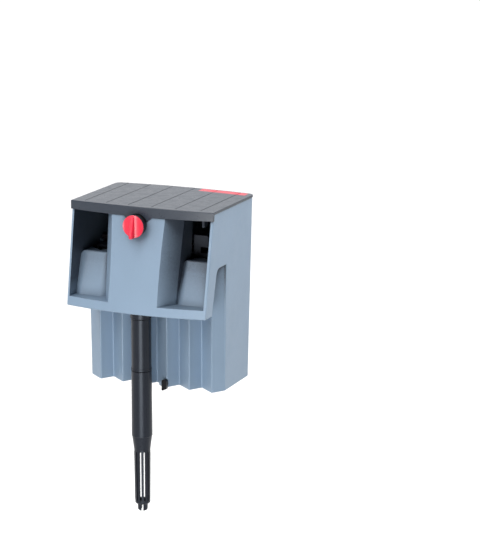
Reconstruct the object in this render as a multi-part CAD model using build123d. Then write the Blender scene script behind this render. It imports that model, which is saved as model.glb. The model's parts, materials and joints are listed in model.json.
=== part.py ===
from build123d import *
import os
from math import sqrt

# Hang-on-back aquarium filter, millimetres. +X right, +Y away from the tank, +Z up.
# The origin is the middle of the bridge's underside, the seat that rests on the tank rim.

# Outer casing
BODY_TOP = 54.8            # upper edge of the side walls, under the lid
BODY_BOTTOM = -126.4       # underside of the rear chamber
BOX_BOTTOM = -44.0         # underside of the front box, inside the tank
HALF_WIDTH = 75.0          # half width at BODY_TOP
SIDE_DRAFT = 0.0127        # mould draft of the side walls
BACK_Y = 75.0              # rear wall at BODY_TOP
BACK_DRAFT = 0.0243        # mould draft of the rear wall
REAR_CORNER = 6.0
WALL = 2.5
PANEL_WALL = 3.4           # thicker front panel, which carries the knob
EDGE_ROUND = 1.0
FRONT_TOP_Y = -21.4        # front face at the side walls, at BODY_TOP
LEAN = 0.178               # the front face comes forward as it goes down
BOW = 8.6                  # the front face stands this far out at the middle

# Rear chamber's ridged front wall, which leans on the tank glass
RIDGES = 6
RIDGE_SPAN = 144.8
RIDGE_LEFT = 16.1          # width of each ridge's long facet
RIDGE_Y = -3.5
VALLEY_Y = 9.0

# Slot for the tank rim
SLOT_TOP_Y = -11.9
SLOT_LEAN = 0.26
SLOT_ROUND = 7.5
BRIDGE_TOP = 4.0

# Outlet bays and centre column
SILL_Z = -35.0             # lower edge of the outlet windows and floor of the bays
RAMP_FOOT_Y = -26.8
RAMP_TOP_Y = -13.0
RAMP_TOP_Z = 6.0
COLUMN_HALF_TOP = 28.6     # half width of the panel between the bays
COLUMN_HALF_BOTTOM = 25.9
COLUMN_WAIST = 1.1         # the panel's edges curve in this much at mid height
COLUMN_SIDE_TOP = 40.7     # half width behind the flare
COLUMN_SIDE_BOTTOM = 37.1
COLUMN_FLARE_DEPTH = 17.5  # the side walls run straight back behind this
COLUMN_BACK_Y = -4.4
WING_BACK_Y = 6.0          # the side walls run on past the column's back
RAMP_INNER_X = 38.2        # where a ramp meets the centre column
RAMP_OUTER_X = 71.5        # where it meets the side wall
RAMP_ROUND_WIDTH = 7.0     # the ramps' ends are rounded off towards the walls
RAMP_ROUND_DEPTH = 2.6
LIP_ROUND_DEPTH = 4.0

# Lid
LID_EDGE_TOP = 57.0
LID_GAP = 0.1
LID_CROWN = 1.2
LID_HALF_WIDTH = 75.6
LID_FRONT_Y = -24.0
LID_BOW = 7.9
LID_BACK_Y = 75.4
LID_EDGE_ROUND = 0.7
RIM_BOTTOM = 48.6
RIM_WALL = 2.0
LID_FIN_X = 48.0           # fins that keep the cartridges down
GROOVES = 6
GROOVE_PITCH = 24.5
GROOVE_WIDTH = 0.8
GROOVE_DEPTH = 0.6

# Flow knob and valve, turning about a line along Y
KNOB_Z = 40.7
KNOB_RADIUS = 10.8
KNOB_FACE_Y = -42.5
KNOB_DISC = 1.5            # thickness of the knob's disc
KNOB_BACK_Y = -38.1
KNOB_PLUG_RADIUS = 8.6     # the knob's body behind its disc, inside the bezel
BEZEL_RADIUS = 10.0
BEZEL_BUSH_RADIUS = 5.0
BEZEL_BUSH_END = -26.0
VALVE_RADIUS = 10.4
VALVE_BORE = 9.0
SPINDLE_RADIUS = 2.0
RISER_Y = -15.4            # line of the riser's top end, under the valve

# Pump cartridge, leaning like the column that holds it
PUMP_LEAN = 12.5
PUMP_FOOT = (0.0, -34.2, -38.5)
PUMP_HALF_WIDTH = 17.0
PUMP_HALF_DEPTH = 8.0
CHAMBER_RADIUS = 6.9
WELL_RADIUS = 5.6
RISER_X = -20.6
RISER_RADIUS = 4.4
RISER_WALL = 1.1
CORE_LEFT = -14.0
CORE_RIGHT = 14.5
CORE_GAP = 6.9             # half the space between the core's arms
CORE_HALF_DEPTH = 4.5
COIL_THICKNESS = 0.9
COIL_Z = (32.0, 41.0)

# Intake, hanging straight down from the front box
INTAKE_X = 3.4
INTAKE_Y = -33.2
TUBE_RADIUS = 9.7
TUBE_WALL = 1.7
COLLAR_RADIUS = 10.3
SPIGOT_RADIUS = 6.4        # spigot of the upper tube inside the collar
SUCTION_BORE = 4.7
SPIGOT_LENGTH = 16.0       # how far the extension plugs in
EXTENSION_BORE = 6.5
SEAL_DEPTH = 0.9
FLARE_RADIUS = 10.2
STRAINER_RADIUS = 8.1
STRAINER_BORE = 5.4
PRONG_RADIUS = 4.9
PRONGS = 4
PRONG_TURN = 20.0
COLLAR_BOTTOM = -50.0
JOINT_Z = -101.5           # where the extension plugs into the upper tube
FLARE_Z = -168.0
EXTENSION_END = -181.6
SLITS = 12
SLIT_TURN = 11.3           # turn of the first slit from +X
SLIT_WIDTH = 1.6
SLIT_TOP = -183.8
SLIT_BOTTOM = -234.4
STRAINER_SHOULDER = -237.6
TIP_Z = -245.0

# Filter cartridges
CARTRIDGE_X = 38.0
CARTRIDGE_HALF_WIDTH = 30.0
CARTRIDGE_FRONT_Y = 14.5
CARTRIDGE_BACK_Y = 29.5
CARTRIDGE_BOTTOM = -121.0
CARTRIDGE_TOP = 6.0
TAB_X = (37.5, 52.5)       # pull tab on a cartridge's frame
TAB_TOP = 25.0
RACK_Y = 31.0

# Levelling spacer at the foot of a ridge
SPACER_X = (12.0, 17.4)
SPACER_BAR_Z = (-124.0, -119.0)
SPACER_GAP = 0.2
SPACER_INNER_Y = 11.5
SPACER_TOP = -120.6        # where the head's round top starts
SPACER_HEAD = 3.2          # thickness of the head

# Cable gland in the rear wall
GLAND_X = 0.0
GLAND_Z = 38.0
GLAND_RADIUS = 5.0
CABLE_RADIUS = 2.75

# Reach of cutting shapes beyond the casing
FAR = 130.0

# Pose of the pump on its foot
PUMP_POSE = Location(PUMP_FOOT, (-PUMP_LEAN, 0, 0))


def block(x, y, z):
    """Box between two values on each axis."""
    centre = Pos((x[0] + x[1]) / 2, (y[0] + y[1]) / 2, (z[0] + z[1]) / 2)
    return centre * Box(x[1] - x[0], y[1] - y[0], z[1] - z[0])


def rod(x, y, z, radius):
    """Upright round bar between two heights."""
    return Pos(x, y, (z[0] + z[1]) / 2) * Cylinder(radius, z[1] - z[0])


def rod_y(x, z, y, radius):
    """Round bar along Y."""
    return Pos(x, (y[0] + y[1]) / 2, z) * Rot(90, 0, 0) * Cylinder(radius, y[1] - y[0])


def ring(x, y, z, outer, inner):
    """Upright round tube piece."""
    return rod(x, y, z, outer) - rod(x, y, (z[0] - 1, z[1] + 1), inner)


def side_profile(points, x_low, x_high, round_at=None, radius=0.0):
    """Outline in the YZ plane, pulled along X, with one corner rounded if asked."""
    face = Face(Wire.make_polygon([Vector(x_low, y, z) for y, z in points], close=True))
    if round_at:
        corner = face.vertices().sort_by_distance(Vector(x_low, *round_at))[0]
        face = face.fillet_2d(radius, [corner])
    return extrude(face, amount=x_high - x_low, dir=(1, 0, 0))


def bowed_outline(front_y, bow, z, back_y=FAR):
    """Plan outline whose front edge is an arc that stands forward at the middle."""
    past = HALF_WIDTH + 4
    past_y = front_y + bow * ((past / HALF_WIDTH) ** 2 - 1)
    front = ThreePointArc((-past, past_y, z), (0, front_y - bow, z), (past, past_y, z))
    rest = Polyline((past, past_y, z), (past, back_y, z), (-past, back_y, z), (-past, past_y, z))
    return make_face([*front.edges(), *rest.edges()])


def front_y(z):
    """Front face at the side walls, at a height."""
    return FRONT_TOP_Y - LEAN * (BODY_TOP - z)


def leaning_prism(inset, z_low, z_high):
    """Everything behind the leaning, bowed front face."""
    outline = bowed_outline(front_y(z_high) + inset, BOW, z_high)
    length = (z_high - z_low) * sqrt(1 + LEAN ** 2)
    return extrude(outline, amount=length, dir=(0, -LEAN, -1))


def plan_face(z, inset, corner):
    """The casing's rectangular plan at a height, open far forward, with round rear corners."""
    half = HALF_WIDTH - SIDE_DRAFT * (BODY_TOP - z) - inset
    back = BACK_Y - BACK_DRAFT * (BODY_TOP - z) - inset
    outline = Pos(0, (back - FAR) / 2, z) * Rectangle(2 * half, back + FAR)
    return fillet(outline.vertices().group_by(Axis.Y)[-1], corner)


def drafted_block(inset, z_low, z_high, corner):
    """The space between the drafted side walls and the rear wall."""
    return loft([plan_face(z_low, inset, corner), plan_face(z_high, inset, corner)])


def ridged_prism(inset, z_low, z_high):
    """Everything behind the ridged wall, which stands on the tank glass."""
    pitch = RIDGE_SPAN / RIDGES
    points = [(-FAR, VALLEY_Y)]
    for i in range(RIDGES):
        valley_x = -RIDGE_SPAN / 2 + i * pitch
        points += [(valley_x, VALLEY_Y), (valley_x + RIDGE_LEFT, RIDGE_Y)]
    points += [(RIDGE_SPAN / 2, VALLEY_Y), (FAR, VALLEY_Y), (FAR, FAR), (-FAR, FAR)]
    outline = Face(Wire.make_polygon([Vector(x, y, z_low) for x, y in points], close=True))
    if inset:
        outline = offset(outline, amount=-inset, kind=Kind.INTERSECTION).face()
    else:
        corners = [v for v in outline.vertices() if v.Y < VALLEY_Y + 1 and abs(v.X) < HALF_WIDTH]
        outline = outline.fillet_2d(0.9, corners)
    return extrude(outline, amount=z_high - z_low, dir=(0, 0, 1))


def column_outline(z, inset):
    """Plan of the centre column: a panel whose side walls flare and then run straight back."""
    share = (BODY_TOP - z) / (BODY_TOP - BOX_BOTTOM)
    waist = COLUMN_WAIST * 4 * share * (1 - share)
    half = COLUMN_HALF_TOP - (COLUMN_HALF_TOP - COLUMN_HALF_BOTTOM) * share - waist
    side = COLUMN_SIDE_TOP - (COLUMN_SIDE_TOP - COLUMN_SIDE_BOTTOM) * share
    flare = (side - half) / COLUMN_FLARE_DEPTH
    edge_y = front_y(z) - BOW * (1 - (half / HALF_WIDTH) ** 2)
    side -= inset
    half -= inset * sqrt(1 + flare ** 2)
    front = edge_y - 16
    turn = edge_y + (side - half) / flare
    back = COLUMN_BACK_Y - inset
    front_half = half - 16 * flare
    corners = [(-front_half, front), (front_half, front), (side, turn), (side, back),
               (-side, back), (-side, turn)]
    return Face(Wire.make_polygon([Vector(x, y, z) for x, y in corners], close=True))


def column(inset):
    """The centre column as a solid, from below the box to above the casing."""
    low, high = BOX_BOTTOM - 4, BODY_TOP + 4
    return loft([column_outline(z, inset) for z in (low, (low + high) / 2, high)])


def wing_face(side, z):
    """Plan of one side wall of the column, where it runs on past the column's back."""
    share = (BODY_TOP - z) / (BODY_TOP - BOX_BOTTOM)
    outer = COLUMN_SIDE_TOP - (COLUMN_SIDE_TOP - COLUMN_SIDE_BOTTOM) * share
    middle = Pos(side * (outer - WALL / 2), (COLUMN_BACK_Y - 1 + WING_BACK_Y) / 2, z)
    return middle * Rectangle(WALL, WING_BACK_Y - COLUMN_BACK_Y + 1)


def slot_y(z, inset=0.0):
    """Tank side of the front box's rear wall at a height."""
    return SLOT_TOP_Y + SLOT_LEAN * z - inset


def rim_slot():
    """The space under the bridge where the tank rim goes."""
    corner = (SLOT_TOP_Y, 0)
    points = [(slot_y(-FAR), -FAR), corner, (60, 0), (60, -FAR)]
    return side_profile(points, -FAR, FAR, round_at=corner, radius=SLOT_ROUND)


def bay_space():
    """Free space over the bridge and down the ramps to the outlet windows, full width."""
    lip_back = RAMP_TOP_Y + 2
    points = [(-FAR, SILL_Z), (RAMP_FOOT_Y, SILL_Z), (RAMP_TOP_Y, RAMP_TOP_Z), (lip_back, RAMP_TOP_Z),
              (lip_back + 2.5, BRIDGE_TOP), (20, BRIDGE_TOP), (20, BODY_TOP + 2), (-FAR, BODY_TOP + 2)]
    space = side_profile(points, -FAR, FAR, round_at=(RAMP_TOP_Y, RAMP_TOP_Z), radius=1.6)
    for side in (-1, 1):
        for wall_x, towards in ((side * RAMP_INNER_X, side), (side * RAMP_OUTER_X, -side)):
            space += ramp_end_space(wall_x, towards)
    return space


def ramp_end_space(wall_x, towards):
    """Space over the rounded end of a ramp: along its slope and across its lip."""
    rise = Vector(0, RAMP_TOP_Y - RAMP_FOOT_Y, RAMP_TOP_Z - SILL_Z)
    slope = Plane(origin=(0, RAMP_FOOT_Y, SILL_Z), x_dir=(1, 0, 0), z_dir=rise)
    across = Plane(origin=(0, RAMP_FOOT_Y - 5, RAMP_TOP_Z), x_dir=(1, 0, 0), z_dir=(0, 1, 0))
    slope_profile = slope * end_profile(wall_x, towards, RAMP_ROUND_DEPTH)
    along_slope = extrude(slope_profile, amount=rise.length, dir=rise)
    lip_length = RAMP_TOP_Y + 5.5 - (RAMP_FOOT_Y - 5)
    lip_profile = across * end_profile(wall_x, towards, LIP_ROUND_DEPTH)
    over_lip = extrude(lip_profile, amount=lip_length, dir=(0, 1, 0))
    return (along_slope & block((-FAR, FAR), (-FAR, FAR), (SILL_Z, RAMP_TOP_Z))) + over_lip


def end_profile(wall_x, towards, depth):
    """Area above an arc that leaves a flat face and dips to a depth at the wall."""
    radius = (RAMP_ROUND_WIDTH ** 2 + depth ** 2) / (2 * depth)
    flat_x = wall_x + towards * RAMP_ROUND_WIDTH
    half_x = wall_x + towards * RAMP_ROUND_WIDTH / 2
    half_dip = radius - sqrt(radius ** 2 - (RAMP_ROUND_WIDTH / 2) ** 2)
    in_wall = wall_x - towards * 3
    arc = ThreePointArc((flat_x, 0), (half_x, half_dip), (wall_x, depth))
    rest = Polyline((wall_x, depth), (in_wall, depth), (in_wall, -3), (flat_x, -3), (flat_x, 0))
    return make_face([*arc.edges(), *rest.edges()])


def column_space():
    """Dry-fit pocket of the centre column, which takes the pump from above."""
    low = BOX_BOTTOM + WALL
    points = [(-FAR, low), (slot_y(low, WALL), low), (slot_y(-1, WALL), -1), (slot_y(-1, WALL), BRIDGE_TOP),
              (COLUMN_BACK_Y - WALL, BRIDGE_TOP), (COLUMN_BACK_Y - WALL, BODY_TOP + 2), (-FAR, BODY_TOP + 2)]
    space = side_profile(points, -FAR, FAR) & column(WALL)
    return space & leaning_prism(PANEL_WALL, low - 2, BODY_TOP + 2)


def sill_space():
    """Hollow under the floors of the outlet bays."""
    high = SILL_Z - WALL
    points = [(-FAR, BOX_BOTTOM - 1), (slot_y(BOX_BOTTOM - 1, WALL), BOX_BOTTOM - 1),
              (slot_y(high, WALL), high), (-FAR, high)]
    space = side_profile(points, -FAR, FAR) & leaning_prism(WALL, BOX_BOTTOM - 3, high + 2)
    return (space & drafted_block(WALL, BOX_BOTTOM - 3, high + 2, 4)) - column(0)


def rim_recess(clearance):
    """Space in front of the casing where the lid's front rim hangs, with its tab round the knob."""
    inner = bowed_outline(LID_FRONT_Y + RIM_WALL + clearance, LID_BOW, RIM_BOTTOM - 10)
    behind = extrude(inner, amount=30, dir=(0, 0, 1))
    rim = block((-FAR, FAR), (-60, 0), (RIM_BOTTOM - clearance, BODY_TOP + 3))
    return (rim + rim_tab(clearance)) - behind


def rim_tab(grow):
    """Trapezoid that hangs from the middle of the lid's front rim."""
    top, low, high = 14.7 + grow, RIM_BOTTOM - 4.6 - grow, RIM_BOTTOM + 1
    side = high - low
    corners = [(-top - 1, high), (-top - 1 + side, low), (top + 1 - side, low), (top + 1, high)]
    face = Face(Wire.make_polygon([Vector(x, -60, z) for x, z in corners], close=True))
    return extrude(face, amount=50, dir=(0, 1, 0))


def spacer_pocket(grow):
    """Blind pocket at the foot of a ridge for the levelling spacer's bar."""
    return block((SPACER_X[0] + 0.6 - grow, SPACER_X[1] - 0.6 + grow), (RIDGE_Y - 8, SPACER_INNER_Y + grow),
                 (SPACER_BAR_Z[0] - grow, SPACER_BAR_Z[1] + grow))


def casing_edges(solid):
    """Outer edges of the front box, the slot and the chamber's front corners, which are rounded."""
    chosen = []
    for edge in solid.edges():
        x, y, z = abs(edge.center().X), edge.center().Y, edge.center().Z
        at_box_bottom = abs(z - BOX_BOTTOM) < 0.1
        at_front_corner = x > 72 and y < -22
        at_slot = x > 73 and -24 < y < VALLEY_Y - 1 and BOX_BOTTOM < z < 0.5
        at_chamber_corner = x > 73 and abs(y - VALLEY_Y) < 1 and -100 < z < -20
        if at_box_bottom or at_front_corner or at_slot or at_chamber_corner:
            chosen.append(edge)
    return chosen


def filter_housing():
    """One moulding: rear chamber, bridge, front box, centre column and ramps."""
    box = leaning_prism(0, BOX_BOTTOM, BODY_TOP) - rim_slot()
    solid = box + ridged_prism(0, BODY_BOTTOM, BODY_TOP)
    solid &= drafted_block(0, BODY_BOTTOM, BODY_TOP, REAR_CORNER)
    solid = fillet(casing_edges(solid), EDGE_ROUND)
    inner = drafted_block(WALL, BODY_BOTTOM + WALL, BODY_TOP + 2, REAR_CORNER - WALL)
    chamber = ridged_prism(WALL, BODY_BOTTOM + WALL, BODY_TOP + 2) & inner
    bays = (bay_space() & drafted_block(WALL, BOX_BOTTOM, BODY_TOP + 2, 2)) - column(0)
    solid = solid - chamber - bays - column_space() - sill_space() - rim_recess(0.3)
    # Rear ends of the column's side walls, rails that hold the cartridge rack, and the closed
    # box round the spacer's pocket
    for side in (-1, 1):
        solid += loft([wing_face(side, BRIDGE_TOP), wing_face(side, BODY_TOP)])
        for y in (RACK_Y - 2.2, RACK_Y + 2.8):
            rail = Pos(side * 71, y + 1, (BODY_BOTTOM + 9) / 2) * Box(6, 2, 7 - BODY_BOTTOM)
            solid += rail & drafted_block(1, BODY_BOTTOM, BODY_TOP, 4)
    ridge = ridged_prism(0, BODY_BOTTOM, BODY_TOP)
    solid += spacer_pocket(SPACER_GAP + 1.6) & ridge & block((-FAR, FAR), (-20, 40), (BODY_BOTTOM, 0))
    solid -= spacer_pocket(SPACER_GAP)
    # Lug under the wall beside the spacer
    lug = block((2.6, 10.5), (-6, 9.2), (BODY_BOTTOM - 2.0, BODY_BOTTOM + 1))
    solid += lug & ridged_prism(0, BODY_BOTTOM - 3, BODY_BOTTOM + 2)
    # Holes for the knob's bush, the valve, the intake and the cable gland
    solid -= rod_y(0, KNOB_Z, (-45, -20), BEZEL_BUSH_RADIUS)
    solid -= rod_y(0, KNOB_Z, (-20, 0), VALVE_RADIUS + 0.1)
    solid -= rod(INTAKE_X, INTAKE_Y, (BOX_BOTTOM - 5, BOX_BOTTOM + 8), 6.0)
    solid -= rod_y(GLAND_X, GLAND_Z, (60, 90), GLAND_RADIUS)
    return solid


def lid():
    """Flat cover with a front rim, fine grooves and a locating rib inside the walls."""
    low = BODY_TOP + LID_GAP
    wide = LID_HALF_WIDTH + 3
    left, right = (-wide, -60, LID_EDGE_TOP), (wide, -60, LID_EDGE_TOP)
    arc = ThreePointArc(left, (0, -60, LID_EDGE_TOP + LID_CROWN), right)
    rest = Polyline(right, (wide, -60, low), (-wide, -60, low), left)
    plate = extrude(make_face([*arc.edges(), *rest.edges()]), amount=160, dir=(0, 1, 0))
    plan = extrude(bowed_outline(LID_FRONT_Y, LID_BOW, 30), amount=40, dir=(0, 0, 1))
    corners = Pos(0, LID_BACK_Y / 2 - 30, 45) * Box(2 * LID_HALF_WIDTH, LID_BACK_Y + 60, 60)
    corners = fillet(corners.edges().filter_by(Axis.Z).group_by(Axis.Y)[-1], REAR_CORNER)
    rim = block((-LID_HALF_WIDTH, LID_HALF_WIDTH), (-60, 0), (RIM_BOTTOM, low + 1)) + rim_tab(0)
    inner = extrude(bowed_outline(LID_FRONT_Y + RIM_WALL, LID_BOW, 30), amount=40, dir=(0, 0, 1))
    rim = (rim & plan) - inner
    rim -= rod_y(0, KNOB_Z, (-60, 0), BEZEL_RADIUS + 0.5)
    cover = plate & (plan & corners)
    top_edges = [e for e in cover.edges() if min(v.Z for v in e.vertices()) > LID_EDGE_TOP - 0.2]
    cover = fillet(top_edges, LID_EDGE_ROUND) + (rim & corners)
    for i in range(GROOVES):
        x = (i - (GROOVES - 1) / 2) * GROOVE_PITCH
        top = LID_EDGE_TOP + LID_CROWN * (1 - (x / LID_HALF_WIDTH) ** 2)
        start = LID_FRONT_Y - LID_BOW * (1 - (x / LID_HALF_WIDTH) ** 2) + 4.6
        across = (x - GROOVE_WIDTH / 2, x + GROOVE_WIDTH / 2)
        cover -= block(across, (start, 80), (top - GROOVE_DEPTH, top + 2))
    rib_outer = drafted_block(WALL + 0.4, low - 4, low + 0.5, REAR_CORNER - WALL)
    rib_inner = drafted_block(WALL + 2.0, low - 5, low + 1, 2)
    cover += (rib_outer - rib_inner) & block((-FAR, FAR), (-16, FAR), (0, FAR))
    for side in (-1, 1):
        cover += block((side * LID_FIN_X - 1.2, side * LID_FIN_X + 1.2), (13.5, 22.0), (33.0, low + 0.5))
    return cover


def flow_knob():
    """Round knob with two scooped halves and a grip bar that rises to a beak."""
    disc = rod_y(0, KNOB_Z, (KNOB_FACE_Y, KNOB_FACE_Y + KNOB_DISC), KNOB_RADIUS)
    knob = fillet(disc.edges().group_by(Axis.Y)[0], 0.7)
    knob += rod_y(0, KNOB_Z, (KNOB_FACE_Y + KNOB_DISC - 0.2, KNOB_BACK_Y), KNOB_PLUG_RADIUS)
    scoop_radius, scoop_x, scoop_out = 12.0, 6.6, 10.9
    for side in (-1, 1):
        scoop = Pos(side * scoop_x, KNOB_FACE_Y - scoop_out, KNOB_Z) * Cylinder(scoop_radius, 40)
        half_space = block((min(side * 1.9, side * 30), max(side * 1.9, side * 30)), (-70, 0), (0, 90))
        knob -= scoop & half_space
    side_view = [(9.6, 0), (9.2, 1.6), (-9.0, 6.4), (-11.0, 5.6), (-11.2, 2.8), (-9.2, -0.4)]
    corners = [Vector(-1.7, KNOB_FACE_Y + 0.3 - out, KNOB_Z + z) for z, out in side_view]
    bar = extrude(Face(Wire.make_polygon(corners, close=True)), amount=3.4, dir=(1, 0, 0))
    front_edges = [e for e in bar.edges() if max(v.Y for v in e.vertices()) < KNOB_FACE_Y - 1]
    bar = fillet([e for e in front_edges if abs(e.center().X) > 1], 0.9)
    boss = rod_y(0, KNOB_Z, (KNOB_BACK_Y - 0.5, KNOB_BACK_Y + 2.5), 4.0)
    return knob + bar + boss - rod_y(0, KNOB_Z, (KNOB_BACK_Y + 1.0, KNOB_BACK_Y + 4.0), SPINDLE_RADIUS)


def knob_bezel():
    """Black drum behind the knob's disc, with a bush through the front panel."""
    front = KNOB_FACE_Y + KNOB_DISC + 0.3
    floor_y = KNOB_BACK_Y + 0.3
    drum = rod_y(0, KNOB_Z, (front, -30.0), BEZEL_RADIUS) - leaning_prism(0, KNOB_Z - 30, BODY_TOP)
    drum -= rod_y(0, KNOB_Z, (-60, floor_y), KNOB_PLUG_RADIUS + 0.3)
    bush = rod_y(0, KNOB_Z, (floor_y + 0.5, BEZEL_BUSH_END), BEZEL_BUSH_RADIUS)
    boss_space = rod_y(0, KNOB_Z, (-60, KNOB_BACK_Y + 2.8), 4.3)
    return (drum + bush) - boss_space - rod_y(0, KNOB_Z, (-60, 0), SPINDLE_RADIUS + 0.05)


def spindle_seal():
    """O-ring on the spindle, behind the bezel's bush."""
    return Pos(0, -25.3, KNOB_Z) * Rot(90, 0, 0) * Torus(2.7, 0.65)


def valve_spindle():
    """Spindle that carries the knob outside and the throttle gate inside."""
    spindle = rod_y(0, KNOB_Z, (KNOB_BACK_Y + 1.0, -11.5), SPINDLE_RADIUS)
    return spindle + rod_y(0, KNOB_Z, (-21.5, -20.3), 7.0)


def throttle_gate():
    """Half-round gate that turns over the riser's port."""
    shell = rod_y(0, KNOB_Z, (-20.3, -10.5), VALVE_BORE - 0.15)
    shell -= rod_y(0, KNOB_Z, (-21, -9), VALVE_BORE - 1.55)
    gate = shell & block((-20, 0), (-30, 0), (0, 90))
    spoke = block((-8.2, -1.0), (-20.3, -18.9), (KNOB_Z - 1.5, KNOB_Z + 1.5))
    return gate + (spoke - rod_y(0, KNOB_Z, (-30, 0), 2.0))


def valve_body():
    """Drum that the gate turns in, open at the back towards the rear chamber."""
    drum = rod_y(0, KNOB_Z, (-24.6, -3.5), VALVE_RADIUS)
    drum -= rod_y(0, KNOB_Z, (-22.4, 0), VALVE_BORE)
    drum += rod_y(0, KNOB_Z, (-24.6, -22.0), 4.4)
    drum -= rod_y(0, KNOB_Z, (-30, -20), 2.06)
    drum -= rod(0, RISER_Y, (KNOB_Z - 14, KNOB_Z - 4), 4.2)
    stub = ring(0, RISER_Y, (KNOB_Z - 14, KNOB_Z - 9.2), 5.6, 4.5)
    return drum + (stub - rod_y(0, KNOB_Z, (-30, 0), VALVE_BORE))


def volute():
    """Pump chamber with the suction eye below and the outlet at its left side."""
    left = RISER_X - RISER_RADIUS - 1.2
    body = block((left, PUMP_HALF_WIDTH), (-PUMP_HALF_DEPTH, PUMP_HALF_DEPTH), (0, 11))
    body = fillet(body.edges().filter_by(Axis.Z), 3.0)
    body -= rod(0, 0, (2.2, 12), CHAMBER_RADIUS)
    body -= block((RISER_X - 2.8, 0), (-4.6, -1.0), (3.5, 8.5))
    body -= rod(RISER_X, 0, (3.5, 12), 3.3)
    body -= block((RISER_X - 2.8, RISER_X + 2.8), (-4.6, 0), (3.5, 8.5))
    body -= rod(RISER_X, 0, (7.5, 12), RISER_RADIUS)
    eye = rod(0, 0, (-1, 4), 4.6)
    spider = block((-5, 5), (-0.6, 0.6), (0, 2.2)) + rod(0, 0, (0, 2.6), 2.0)
    return PUMP_POSE * ((body - eye) + (spider - rod(0, 0, (0.8, 4), 1.5)))


def suction_duct():
    """Short duct from the intake socket in the floor to the pump's eye."""
    base = rod(INTAKE_X, INTAKE_Y, (BOX_BOTTOM - 3.0, BOX_BOTTOM + WALL + 0.4), 6.0)
    base -= rod(INTAKE_X, INTAKE_Y, (BOX_BOTTOM - 5, BOX_BOTTOM + 5), 4.7)
    return base


def volute_seal():
    """Flat rubber ring between volute and motor."""
    ring = rod(0, 0, (11.0, 11.6), 7.9) - rod(0, 0, (10, 13), CHAMBER_RADIUS)
    return PUMP_POSE * ring


def motor_housing():
    """Sealed motor casing with a blind rotor well open towards the volute."""
    width = (-PUMP_HALF_WIDTH + 1.2, PUMP_HALF_WIDTH)
    body = block(width, (-PUMP_HALF_DEPTH, PUMP_HALF_DEPTH), (11.6, 50))
    body = fillet(body.edges().filter_by(Axis.Z), 3.0)
    inner_depth = PUMP_HALF_DEPTH - 1.4
    inside = block((width[0] + 1.5, width[1] - 1.5), (-inner_depth, inner_depth), (13.2, 48.4))
    well = rod(0, 0, (11.6, 31.4), WELL_RADIUS + 1.0)
    return PUMP_POSE * ((body - inside + well) - rod(0, 0, (11, 30.4), WELL_RADIUS))


def stator_core():
    """U-shaped laminated core with its arms beside the rotor well."""
    core = block((CORE_LEFT, CORE_RIGHT), (-CORE_HALF_DEPTH, CORE_HALF_DEPTH), (14.5, 46.5))
    core -= block((-CORE_GAP, CORE_GAP), (-6, 6), (10, 41.5))
    return PUMP_POSE * core


def stator_coils():
    """Two windings, one on each arm of the core."""
    left_arm = (CORE_LEFT, -CORE_GAP)
    right_arm = (CORE_GAP, CORE_RIGHT)
    left = block((CORE_LEFT - 0.2, -CORE_GAP + COIL_THICKNESS), (-6.3, 6.3), COIL_Z)
    right = block((CORE_GAP - COIL_THICKNESS, CORE_RIGHT + COIL_THICKNESS), (-6.3, 6.3), COIL_Z)
    depth = (-CORE_HALF_DEPTH, CORE_HALF_DEPTH)
    return [PUMP_POSE * (left - block(left_arm, depth, (30, 43))),
            PUMP_POSE * (right - block(right_arm, depth, (30, 43)))]


def rotor_magnet():
    """Magnet drum that turns in the well."""
    return PUMP_POSE * (rod(0, 0, (13.5, 28.5), 5.1) - rod(0, 0, (13, 29), 1.55))


def impeller():
    """Straight-bladed impeller and the sleeve that carries the magnet."""
    wheel = rod(0, 0, (9.4, 10.6), 5.8) + rod(0, 0, (4.0, 13.5), 2.4) + rod(0, 0, (13.5, 28.5), 1.55)
    for i in range(4):
        wheel += Rot(0, 0, 90 * i) * block((1.5, 6.2), (-0.5, 0.5), (4.2, 9.8))
    return PUMP_POSE * (wheel - rod(0, 0, (3, 30), 1.05))


def impeller_shaft():
    """Ceramic pin that the impeller turns on."""
    return PUMP_POSE * rod(0, 0, (1.2, 30.0), 1.0)


def shaft_bush(low, high, radius):
    """Rubber bush that holds one end of the pin."""
    return PUMP_POSE * (rod(0, 0, (low, high), radius) - rod(0, 0, (low + 0.4, high + 1), 1.0))


def upper_bush():
    """Rubber bush at the top of the well."""
    return PUMP_POSE * (rod(0, 0, (28.9, 30.4), 2.4) - rod(0, 0, (28, 30.0), 1.0))


def riser_tube():
    """Bent tube from the volute's outlet up to the valve."""
    start = (PUMP_POSE * Pos(RISER_X, 0, 8.0)).position
    lower = (PUMP_POSE * Pos(RISER_X, 0, 53.0)).position
    upper = Vector(0, RISER_Y, KNOB_Z - 17.4)
    end = Vector(0, RISER_Y, KNOB_Z - VALVE_RADIUS - 0.2)
    path = FilletPolyline(start, lower, upper, end, radius=4.8)
    section = Plane(origin=start, z_dir=path % 0)
    outer = sweep(section * Circle(RISER_RADIUS), path=path)
    return outer - sweep(section * Circle(RISER_RADIUS - RISER_WALL), path=path)


def pump_pads():
    """Rubber pads that keep the pump from humming against the casing."""
    pads = []
    for x in (-12.0, 12.0):
        pads.append(PUMP_POSE * block((x - 3, x + 3), (PUMP_HALF_DEPTH, PUMP_HALF_DEPTH + 1.0), (14, 22)))
    return pads


def delivery_chute():
    """Trough that carries the pumped water over the cartridges to the back of the chamber."""
    outer = block((-21, 21), (-3.4, 38.0), (26.0, 52.0))
    inside = (-19.4, 19.4)
    trough = outer - block(inside, (-1.8, 36.4), (27.6, 60)) - block(inside, (20, 36.4), (20, 30))
    spout = block((-21, 21), (36.4, 38.0), (10, 30)) + block((-21, 21), (18.4, 20.0), (20.0, 30))
    return (trough + spout) - rod_y(0, KNOB_Z, (-10, 0), VALVE_RADIUS + 0.1)


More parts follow.
